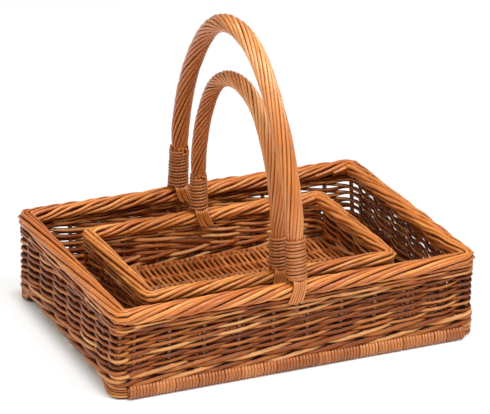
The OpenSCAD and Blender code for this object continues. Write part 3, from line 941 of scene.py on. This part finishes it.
    def border_section(self, raised: float) -> tuple[np.ndarray, np.ndarray, np.ndarray]:
        """Works out the way that a border rod takes over the rim, across the border.

        Args:
            raised: How far the rod lies above the others.

        Returns:
            Distances along the way, places out of the border's middle, and heights.
        """
        s = self.sizes
        angle = np.radians(np.linspace(*BORDER_TURN, 146))
        c, d = np.cos(angle), np.sin(angle)
        out = (s.border_width / 2 - BORDER_ROD + raised) * np.sign(c) * np.abs(c) ** BORDER_BEND
        up = (s.border_height / 2 - BORDER_ROD + raised) * np.sign(d) * np.abs(d) ** BORDER_BEND
        steps = np.hypot(np.diff(out), np.diff(up))
        length = np.concatenate([[0.0], np.cumsum(steps)])
        return length, out, s.height - s.border_height / 2 + up

    def border(self, material: bpy.types.Material) -> None:
        """Lays the border: long rods that slant from the outside over the top to the inside."""
        s = self.sizes
        bundle = self.bundle("border", 4)
        pick = bundle.random
        loop = Loop(s, s.border_width / 2, s.corner - s.border_width / 2, leans=False)
        total = float(loop.run(np.array([0.0]))[0])
        arcs = np.arange(0.0, total, 1.0)
        places, ways = loop.at(arcs, 0.0 * arcs, 0.0 * arcs)
        slope = np.where(ways[:, 0] > 0.0, RIGHT_SLOPE, LEFT_SLOPE)
        slope = slope + (SIDE_SLOPE - slope) * np.abs(ways[:, 1])
        near_right = eased(places[:, 0] / (s.length / 2)) * (ways[:, 1] < -0.5)
        slope = slope * (1.0 - 0.5 * near_right)
        arcs = np.append(arcs, total)
        twist = np.concatenate([[0.0], np.cumsum(slope * np.diff(arcs))])
        count = 2 * round(twist[-1] / (4 * BORDER_ROD))
        twist = twist * count / twist[-1]
        arcs = np.concatenate([arcs - total, arcs[1:], arcs[1:] + total])
        twist = np.concatenate([twist - count, twist[1:], twist[1:] + count])

        def lay(start: float, first: float, last: float, raised: float) -> None:
            """Lays one rod, from one share of the way over the rim to another."""
            length, out, up = self.border_section(raised)
            rods = length[-1] / (2 * BORDER_ROD)
            t = np.linspace(first, last, max(int((last - first) * BORDER_RINGS), 14))
            turn = start + (t - first) * rods
            arc = np.interp(turn, twist, arcs)
            sway = BORDER_SWAY * np.sin(arc / 9.0 + pick.uniform(0.0, TURN))
            off = np.interp(t * length[-1], length, out)
            z = np.interp(t * length[-1], length, up)
            points, ways = self.beside(loop, arc, z + sway, off + sway)
            rise = np.column_stack([0.0 * z, 0.0 * z, z - s.height + s.border_height / 2])
            ways = unit(ways * off[:, None] + rise)
            size = BORDER_ROD * pick.uniform(0.84, 1.12) * np.linspace(1.06, 0.88, len(t))
            bundle.lay(points, size * MM, ways, 10)

        for k in range(count):
            pair = 0.08 if k % 2 == 0 else -0.08
            lay(k + pair + pick.uniform(-0.05, 0.05), 0.0, pick.uniform(0.94, 1.0), 0.0)
        ends = round(total / BORDER_END_PITCH)
        rods = self.border_section(0.0)[0][-1] / (2 * BORDER_ROD)
        for k in range(ends):
            arc = (k + pick.uniform(-0.1, 0.1)) * total / ends
            if ways[int(arc % total), 0] < 0.5:
                continue
            near = float(np.interp(arc, arcs, twist))
            first = BORDER_END_PLACE
            groove = first * rods
            start = round(near - groove - 0.5) + 0.5 + groove
            lay(start, first, first + pick.uniform(0.34, 0.42), 1.0)
        centre = s.height - s.border_height / 2
        # Three core rods run round the border's middle in the darkest tone, painted shade for the gaps
        # between the border's rods.
        for offset, height in ((-2.6, -1.6), (2.6, -1.6), (0.0, 2.2)):
            arc = np.linspace(0.0, total * 0.999, 240)
            off = offset + 0.0 * arc
            points, _ = self.beside(loop, arc, centre + height + 0.0 * arc, off)
            bundle.lay(points, 2.6 * MM, UP, 6, tone=-1.0)
        self.end(bundle, "border", "border_willow", material)

    def floor(self, material: bpy.types.Material) -> None:
        """Weaves the floor: rods from front to back, over and under the base sticks."""
        s = self.sizes
        bundle = self.bundle("base_weave", 5)
        pick = bundle.random
        z0 = FLOOR_LIFT + FLOOR_THICK / 2
        half_x = s.length / 2 - BORDER_PROUD - END_LEAN - s.wall + 2.5
        half_y = s.width / 2 - BORDER_PROUD - s.side_lean - s.wall - 0.5
        last_stick = self.stick_rows() - s.stick_shift
        rod_r = 2.25
        lift = FLOOR_THICK / 2 - rod_r - 0.1
        count = int(2 * half_x / 3.62)
        pitch = 2 * (half_x - rod_r) / (count - 1)
        for k in range(count):
            parity = -1 if k % 2 else 1
            y = np.linspace(-half_y, half_y, int(half_y / 3.2))
            wave = np.cos(math.pi * (y / BASE_STICK_PITCH - s.stick_shift))
            height = z0 + parity * lift * np.sign(wave) * np.abs(wave) ** 0.6
            past = eased((np.abs(y) - last_stick * BASE_STICK_PITCH) / 16.0)
            height = height * (1 - past) + (z0 + lift * (0.6 + 0.3 * parity)) * past
            sway = 0.4 * np.sin(y / 23.0 + pick.uniform(0.0, TURN)) + pick.uniform(-0.25, 0.25)
            x = rod_r - half_x + k * pitch + sway
            radius = rod_r * pick.uniform(0.9, 1.08)
            bundle.lay(self.placed(x, y, height), radius * MM, UP, self.sides)
        self.end(bundle, "base_weave", "floor_willow", material)

    def stick_rows(self) -> int:
        """Returns how many base sticks lie on each side of the floor's middle."""
        room = self.foot_y() - FOOT_D / 2 - BASE_STICK_D
        return math.floor(room / BASE_STICK_PITCH + self.sizes.stick_shift)

    def foot_y(self) -> float:
        """Returns the distance of a foot's middle line from the trug's middle."""
        s = self.sizes
        down = 1.0 - FOOT_D / 2 / s.height
        outside = s.width / 2 - BORDER_PROUD - s.side_lean * down
        return outside + FOOT_PROUD - FOOT_D / 2

    def lapping(self, side: Side, material: bpy.types.Material) -> None:
        """Winds the fine rod round one foot, from end to end."""
        s = self.sizes
        part = f"{side.name.lower()}_lapping"
        bundle = self.bundle(part, 6 + side.value)
        pick = bundle.random
        half = s.length / 2 - BORDER_PROUD - END_LEAN - FOOT_INSET
        wide = 2.15
        flat = 0.75
        pitch = 4.15
        middle_r = FOOT_D / 2 - wide * flat
        low = FOOT_D / 2 - FOOT_FLAT
        x = -half + wide
        while x < half - wide:
            turns = min(pick.randrange(4, 9), int((half - wide - x) / pitch) + 1)
            t = np.linspace(0.0, turns, turns * 18 + 1)
            angle = TURN * t - math.pi / 2
            ring = middle_r + 0.2 * np.sin(t * 2.1 + pick.uniform(0.0, TURN))
            along = np.minimum(x + t * pitch, half - wide)
            y = side.value * (self.foot_y() + ring * np.cos(angle))
            z = np.maximum(low + ring * np.sin(angle), wide * flat)
            ways = np.stack([0 * t, side.value * np.cos(angle), np.sin(angle)], axis=1)
            size = wide * pick.uniform(0.93, 1.05)
            bundle.lay(self.placed(along, y, z), size * MM, ways, 8, flat=flat)
            x += turns * pitch + pick.uniform(0.2, 0.8)
        self.end(bundle, part, "binding_willow", material)

    def arch(self) -> tuple[np.ndarray, np.ndarray]:
        """Works out the handle's middle line.

        Returns:
            Points (across, up) above the rim from the back foot to the front foot, and the
            angles of the outward ways.
        """
        s = self.sizes
        lean = math.radians(s.neck_lean)
        foot = np.array([math.hypot((s.width - s.border_width) / 2, s.skew / 2), 0.0])
        along = np.array([-math.sin(lean), math.cos(lean)])
        out = np.array([math.cos(lean), math.sin(lean)])
        crown = np.array([0.0, s.rise - s.crown])
        gap = foot + s.neck * along - crown
        arc_r = (gap @ gap - s.crown ** 2) / (2 * (out @ gap - s.crown))
        middle = foot + s.neck * along - arc_r * out
        far = math.atan2(*(crown - middle)[::-1])
        side = [(*(foot + up * along), lean) for up in np.linspace(2.0, s.neck, 14)[:-1]]
        for a in np.linspace(lean, far, 28)[:-1]:
            side.append((*(middle + arc_r * np.array([math.cos(a), math.sin(a)])), a))
        top = [
            (*(crown + s.crown * np.array([math.cos(a), math.sin(a)])), a)
            for a in np.linspace(far, math.pi - far, 64)
        ]
        mirrored = [(-x, z, math.pi - a) for x, z, a in reversed(side)]
        line = np.array(side + top + mirrored)
        return line[:, 0:2], line[:, 2]

    def over_rim(self, across: np.ndarray, up: np.ndarray, beside: np.ndarray) -> np.ndarray:
        """Returns points of the arch's own plane in the shared frame.

        Args:
            across: Distances along the plane from its middle, the back foot's side positive.
            up: Heights above the rim.
            beside: Distances out of the plane, towards +X.
        """
        s = self.sizes
        turn = math.atan2(s.skew / 2, (s.width - s.border_width) / 2)
        x = s.handle_x + beside * math.cos(turn) - across * math.sin(turn)
        y = beside * math.sin(turn) + across * math.cos(turn)
        return self.placed(x, y, s.height + up)

    def round_neck(
        self, side: Side, height: np.ndarray, ring: np.ndarray, angle: np.ndarray
    ) -> np.ndarray:
        """Returns points round the middle line of one neck.

        Args:
            side: The handle's foot.
            height: Distances along the neck from the rim.
            ring: Distances from the middle line.
            angle: Angles round it, from the outward way.
        """
        s = self.sizes
        lean = math.radians(s.neck_lean)
        half = math.hypot((s.width - s.border_width) / 2, s.skew / 2)
        out = ring * np.cos(angle)
        across = half - height * math.sin(lean) + out * math.cos(lean)
        up = height * math.cos(lean) + out * math.sin(lean)
        return self.over_rim(side.value * across, up, -side.value * ring * np.sin(angle))

    def roping(self, material: bpy.types.Material) -> None:
        """Ropes the handle with rods that spiral round the bow, and gathers them at the necks."""
        s = self.sizes
        bundle = self.bundle("handle_roping", 8)
        pick = bundle.random
        line, outward = self.arch()
        steps = np.linalg.norm(np.diff(line, axis=0), axis=1)
        length = np.concatenate([[0.0], np.cumsum(steps)])
        total = length[-1]
        rods = 13
        share = np.minimum(length, total - length)
        gather = eased((share - s.neck * 0.75) / (s.neck * 0.5))
        back, top, front = (1.0 / lay for lay in s.lays)
        crown = np.exp(-(((length / total - 0.47) / 0.17) ** 2))
        leg = back + (front - back) * eased((length / total - 0.4) / 0.25)
        rate = (leg + (top - leg) * crown) * (0.3 + 0.7 * gather)
        twist = np.concatenate([[0.0], np.cumsum((rate[1:] + rate[:-1]) / 2 * steps)]) * TURN
        outer = (s.neck_d + (s.rope_d - s.neck_d) * gather) / 2
        slant = np.cos(np.arctan(TURN * rate * outer))
        wedge = math.sin(math.pi / rods) * slant
        rod_r = outer * wedge / (1 + wedge) * 1.03
        centre_r = outer - rod_r
        # Painted light along the arch: the rods are paler round the front shoulder of the crown, a
        # painted highlight, and darker down the back leg, painted shade.
        wear_and_painted_light = 1.7 * np.exp(-(((length / total - 0.6) / 0.1) ** 2))
        wear_and_painted_light = wear_and_painted_light - 0.9 * (1.0 - eased((length / total - 0.34) / 0.2))
        for k in range(rods):
            angle = TURN * k / rods - twist + pick.uniform(-0.05, 0.05)
            ring = centre_r + pick.uniform(-0.2, 0.3)
            out = ring * np.cos(angle)
            beside = ring * np.sin(angle)
            across = line[:, 0] + out * np.cos(outward)
            up = line[:, 1] + out * np.sin(outward)
            points = self.over_rim(across, up, beside)
            middle = self.over_rim(line[:, 0], line[:, 1], 0.0 * beside)
            size = rod_r * pick.uniform(0.94, 1.06)
            bundle.lay(points, size * MM, unit(points - middle), 10, paler=wear_and_painted_light)
        self.end(bundle, "handle_roping", "handle_willow", material)

    def binding(self, side: Side, material: bpy.types.Material) -> None:
        """Winds the binding of one neck, from the rim upwards, over the rods' cut ends."""
        s = self.sizes
        part = f"{side.name.lower()}_binding"
        bundle = self.bundle(part, 10 + side.value)
        pick = bundle.random
        thick = 1.92
        low = BINDING_LIFT + thick
        high = s.neck - SHOULDER - thick
        turns = round((high - low) / 4.5) + 0.5
        t = np.linspace(-0.2, turns, int(turns * 24))
        share = np.clip(t / turns, 0.0, 1.0)
        ring = s.neck_d / 2 + thick * 0.92 + 0.7 * (1.0 - share) ** 2 + 0.2 * np.sin(t * 1.3)
        height = low + (high - low) * share + 0.3 * np.sin(t * 2.7 + pick.uniform(0.0, TURN))
        points = self.round_neck(side, height, ring, TURN * t)
        ways = unit(points - self.round_neck(side, height, 0.0 * ring, TURN * t))
        bundle.lay(points, thick * MM, ways, 10, flat=0.92)
        if side is Side.BACK:
            for k in range(13):
                height = np.linspace(high - 9.0, high + 4.5 + pick.uniform(-1.5, 1.5), 8)
                angle = TURN * (k + pick.uniform(-0.2, 0.2)) / 13 - 0.012 * height
                ring = s.neck_d / 2 + 1.1 + pick.uniform(-0.2, 0.3) + 0.0 * height
                points = self.round_neck(side, height, ring, angle)
                ways = unit(points - self.round_neck(side, height, 0.0 * ring, angle))
                bundle.lay(points, pick.uniform(1.4, 1.8) * MM, ways, 8)
        self.end(bundle, part, "binding_willow", material)

    def tails(self, side: Side, material: bpy.types.Material) -> None:
        """Fans the handle rods' tails down the outside and the inside of the rim."""
        s = self.sizes
        part = f"{side.name.lower()}_tails"
        bundle = self.bundle(part, 13 + side.value)
        pick = bundle.random
        y0 = side.value * (s.width - s.border_width) / 2
        foot_x = s.handle_x - side.value * s.skew / 2
        for way in (1, -1):
            for k in range(6):
                middle = k - 2.5
                reach = s.border_width / 2 + 2.0
                drop = (24.0 if side is Side.FRONT else 18.0) + pick.uniform(-2.0, 2.0)
                t = np.linspace(0.0, 1.0, 18)
                swing = middle * (2.7 + 0.5 * t) + 7.5 * t * t
                off = reach * np.minimum(1.0, 0.6 + 1.6 * t)
                z = s.height + 5.5 - (drop + 5.5) * t ** 1.1
                x = foot_x - way * swing
                y = y0 + way * side.value * off
                size = pick.uniform(1.4, 1.6) * np.linspace(1.08, 0.88, len(t))
                bundle.lay(self.placed(x, y, z), size * MM, np.array([0.0, 1.0, 0.0]), 8)
        self.end(bundle, part, "handle_willow", material)

    def build(self, finishes: dict[str, bpy.types.Material]) -> None:
        """Builds every woven part, and gives the sticks inside their finish.

        Args:
            finishes: The materials, by slot.
        """
        self.floor(finishes["floor_willow"])
        self.upsett(finishes["siding_willow"])
        self.siding(finishes["siding_willow"])
        self.top_wale(finishes["siding_willow"])
        self.border(finishes["border_willow"])
        self.roping(finishes["handle_willow"])
        for side in Side:
            self.lapping(side, finishes["binding_willow"])
            self.binding(side, finishes["binding_willow"])
            self.tails(side, finishes["handle_willow"])
        for part in ("front_foot", "back_foot", "base_sticks", "stakes", "handle_bow"):
            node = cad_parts[f"{self.sizes.name}_{part}"]
            node.data.materials.clear()
            node.data.materials.append(finishes["hidden_willow"])


# Studio


@dataclass
class Studio:
    """The floor, lights and camera.

    Attributes:
        azimuth: Way that the camera looks from, in degrees.
        elevation: Height of that way above the floor, in degrees.
        distance: Distance from the target.
        lens: Focal length for a sensor 36 mm wide.
        shift: Camera shift that the picture's framing needs.
        target: Point that the camera looks at.
        floor_colour: Colour of the floor.
        floor_glow: Share of plain white in the floor as the camera sees it.
        shade: Half sizes of the floor's stretch under the trugs, which has no such glow.
        shade_middle: Middle of that stretch.
        shade_edge: Width of the stretch's soft edge.
    """

    azimuth: float = -23.12
    elevation: float = 21.90
    distance: float = 3.65
    lens: float = 214.76
    shift: tuple[float, float] = (0.0042, -0.0035)
    target: tuple[float, float, float] = (0.0, 0.0, 0.15)
    floor_colour: tuple[float, float, float] = field(default=(0.9, 0.9, 0.9))
    floor_glow: float = 0.86
    shade: tuple[float, float] = (0.222, 0.172)
    shade_middle: tuple[float, float] = (-0.012, 0.0)
    shade_edge: float = 0.024

    def camera(self) -> None:
        """Adds the camera."""
        az, el = math.radians(self.azimuth), math.radians(self.elevation)
        back = Vector((
            math.sin(az) * math.cos(el), -math.cos(az) * math.cos(el), math.sin(el)
        ))
        right = Vector((math.cos(az), math.sin(az), 0.0))
        up = back.cross(right)
        data = bpy.data.cameras.new("camera")
        data.lens = self.lens
        data.sensor_width = 36.0
        data.shift_x, data.shift_y = self.shift
        data.clip_end = 50.0
        camera = bpy.data.objects.new("camera", data)
        turn = Matrix((right, up, back)).transposed().to_4x4()
        camera.matrix_world = Matrix.Translation(Vector(self.target) + back * self.distance) @ turn
        bpy.context.scene.collection.objects.link(camera)
        bpy.context.scene.camera = camera

    def floor(self) -> None:
        """Adds the white floor, which keeps the trug's shadow."""
        mesh = bmesh.new()
        bmesh.ops.create_grid(mesh, x_segments=1, y_segments=1, size=12.0)
        data = bpy.data.meshes.new("floor")
        mesh.to_mesh(data)
        mesh.free()
        floor = bpy.data.objects.new("floor", data)
        bpy.context.scene.collection.objects.link(floor)
        made = Recipe("floor_paper")
        made.shader.inputs["Base Color"].default_value = (*self.floor_colour, 1.0)
        made.shader.inputs["Roughness"].default_value = 0.9
        made.shader.inputs["Specular IOR Level"].default_value = 0.0
        seen = Value(made.tree, made.node("ShaderNodeLightPath").outputs["Is Camera Ray"])
        where = made.node("ShaderNodeTexCoord").outputs["Object"]
        places = made.node("ShaderNodeSeparateXYZ", {}, Vector=where).outputs
        past = [
            (((Value(made.tree, place) - middle) ** 2.0) ** 0.5 - half).clamped()
            for place, middle, half in zip(places, self.shade_middle, self.shade)
        ]
        distance = (past[0] * past[0] + past[1] * past[1]) ** 0.5
        seen = seen * (distance * (1.0 / self.shade_edge)).clamped()
        paper = made.node("ShaderNodeEmission", {}, Color=(1.0, 1.0, 1.0, 1.0), Strength=1.0)
        mix = made.tree.nodes.new("ShaderNodeMixShader")
        made.tree.links.new((seen * self.floor_glow).socket, mix.inputs[0])
        made.tree.links.new(made.shader.outputs[0], mix.inputs[1])
        made.tree.links.new(paper.outputs[0], mix.inputs[2])
        output = made.tree.nodes["Material Output"]
        made.tree.links.new(mix.outputs[0], output.inputs["Surface"])
        data.materials.append(made.material)

    def world(self) -> None:
        """Lights the scene evenly from all round, and shows a white background."""
        world = bpy.data.worlds.new("studio")
        world.use_nodes = True
        tree = world.node_tree
        soft = tree.nodes["Background"]
        soft.inputs["Color"].default_value = (1.0, 0.98, 0.96, 1.0)
        soft.inputs["Strength"].default_value = 0.34
        white = tree.nodes.new("ShaderNodeBackground")
        white.inputs["Color"].default_value = (1.0, 1.0, 1.0, 1.0)
        white.inputs["Strength"].default_value = 1.0
        path = tree.nodes.new("ShaderNodeLightPath")
        mix = tree.nodes.new("ShaderNodeMixShader")
        tree.links.new(path.outputs["Is Camera Ray"], mix.inputs[0])
        tree.links.new(soft.outputs[0], mix.inputs[1])
        tree.links.new(white.outputs[0], mix.inputs[2])
        output = tree.nodes["World Output"]
        tree.links.new(mix.outputs[0], output.inputs["Surface"])
        bpy.context.scene.world = world

    def lamp(self, name: str, place: tuple, size: float, power: float, colour: tuple) -> None:
        """Adds a soft lamp that faces the trug.

        Args:
            name: Name of the lamp.
            place: Where it hangs.
            size: Width of its square.
            power: Power in watts.
            colour: Colour of its light.
        """
        data = bpy.data.lights.new(name, "AREA")
        data.size = size
        data.energy = power
        data.color = colour
        lamp = bpy.data.objects.new(name, data)
        way = Vector(self.target) - Vector(place)
        lamp.matrix_world = Matrix.Translation(place) @ way.to_track_quat("-Z", "Y").to_matrix().to_4x4()
        bpy.context.scene.collection.objects.link(lamp)

    def build(self) -> None:
        """Builds the whole studio."""
        self.camera()
        self.floor()
        self.world()
        self.lamp("key", (0.5, -1.3, 3.3), 1.3, 112.0, (1.0, 0.98, 0.95))
        self.lamp("fill", (-1.9, -1.3, 2.2), 1.2, 33.0, (1.0, 0.9, 0.76))
        self.lamp("top", (0.4, 1.4, 2.8), 1.0, 18.0, (1.0, 0.98, 0.95))
        bpy.context.scene.view_settings.view_transform = "Standard"


def main() -> None:
    """Builds the trugs and the studio, and reports each piece."""
    logging.basicConfig(level=logging.INFO, format="%(name)s: %(message)s")
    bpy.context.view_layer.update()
    Studio().build()
    finishes = {
        finish.name: finish.material()
        for finish in (
            SIDING_FINISH, BORDER_FINISH, FLOOR_FINISH, HANDLE_FINISH, BINDING_FINISH, STICK_FINISH,
        )
    }
    for seed, sizes in enumerate((LARGE, SMALL), start=1):
        Trug(sizes, seed).build(finishes)


if __name__ == "__main__":
    main()
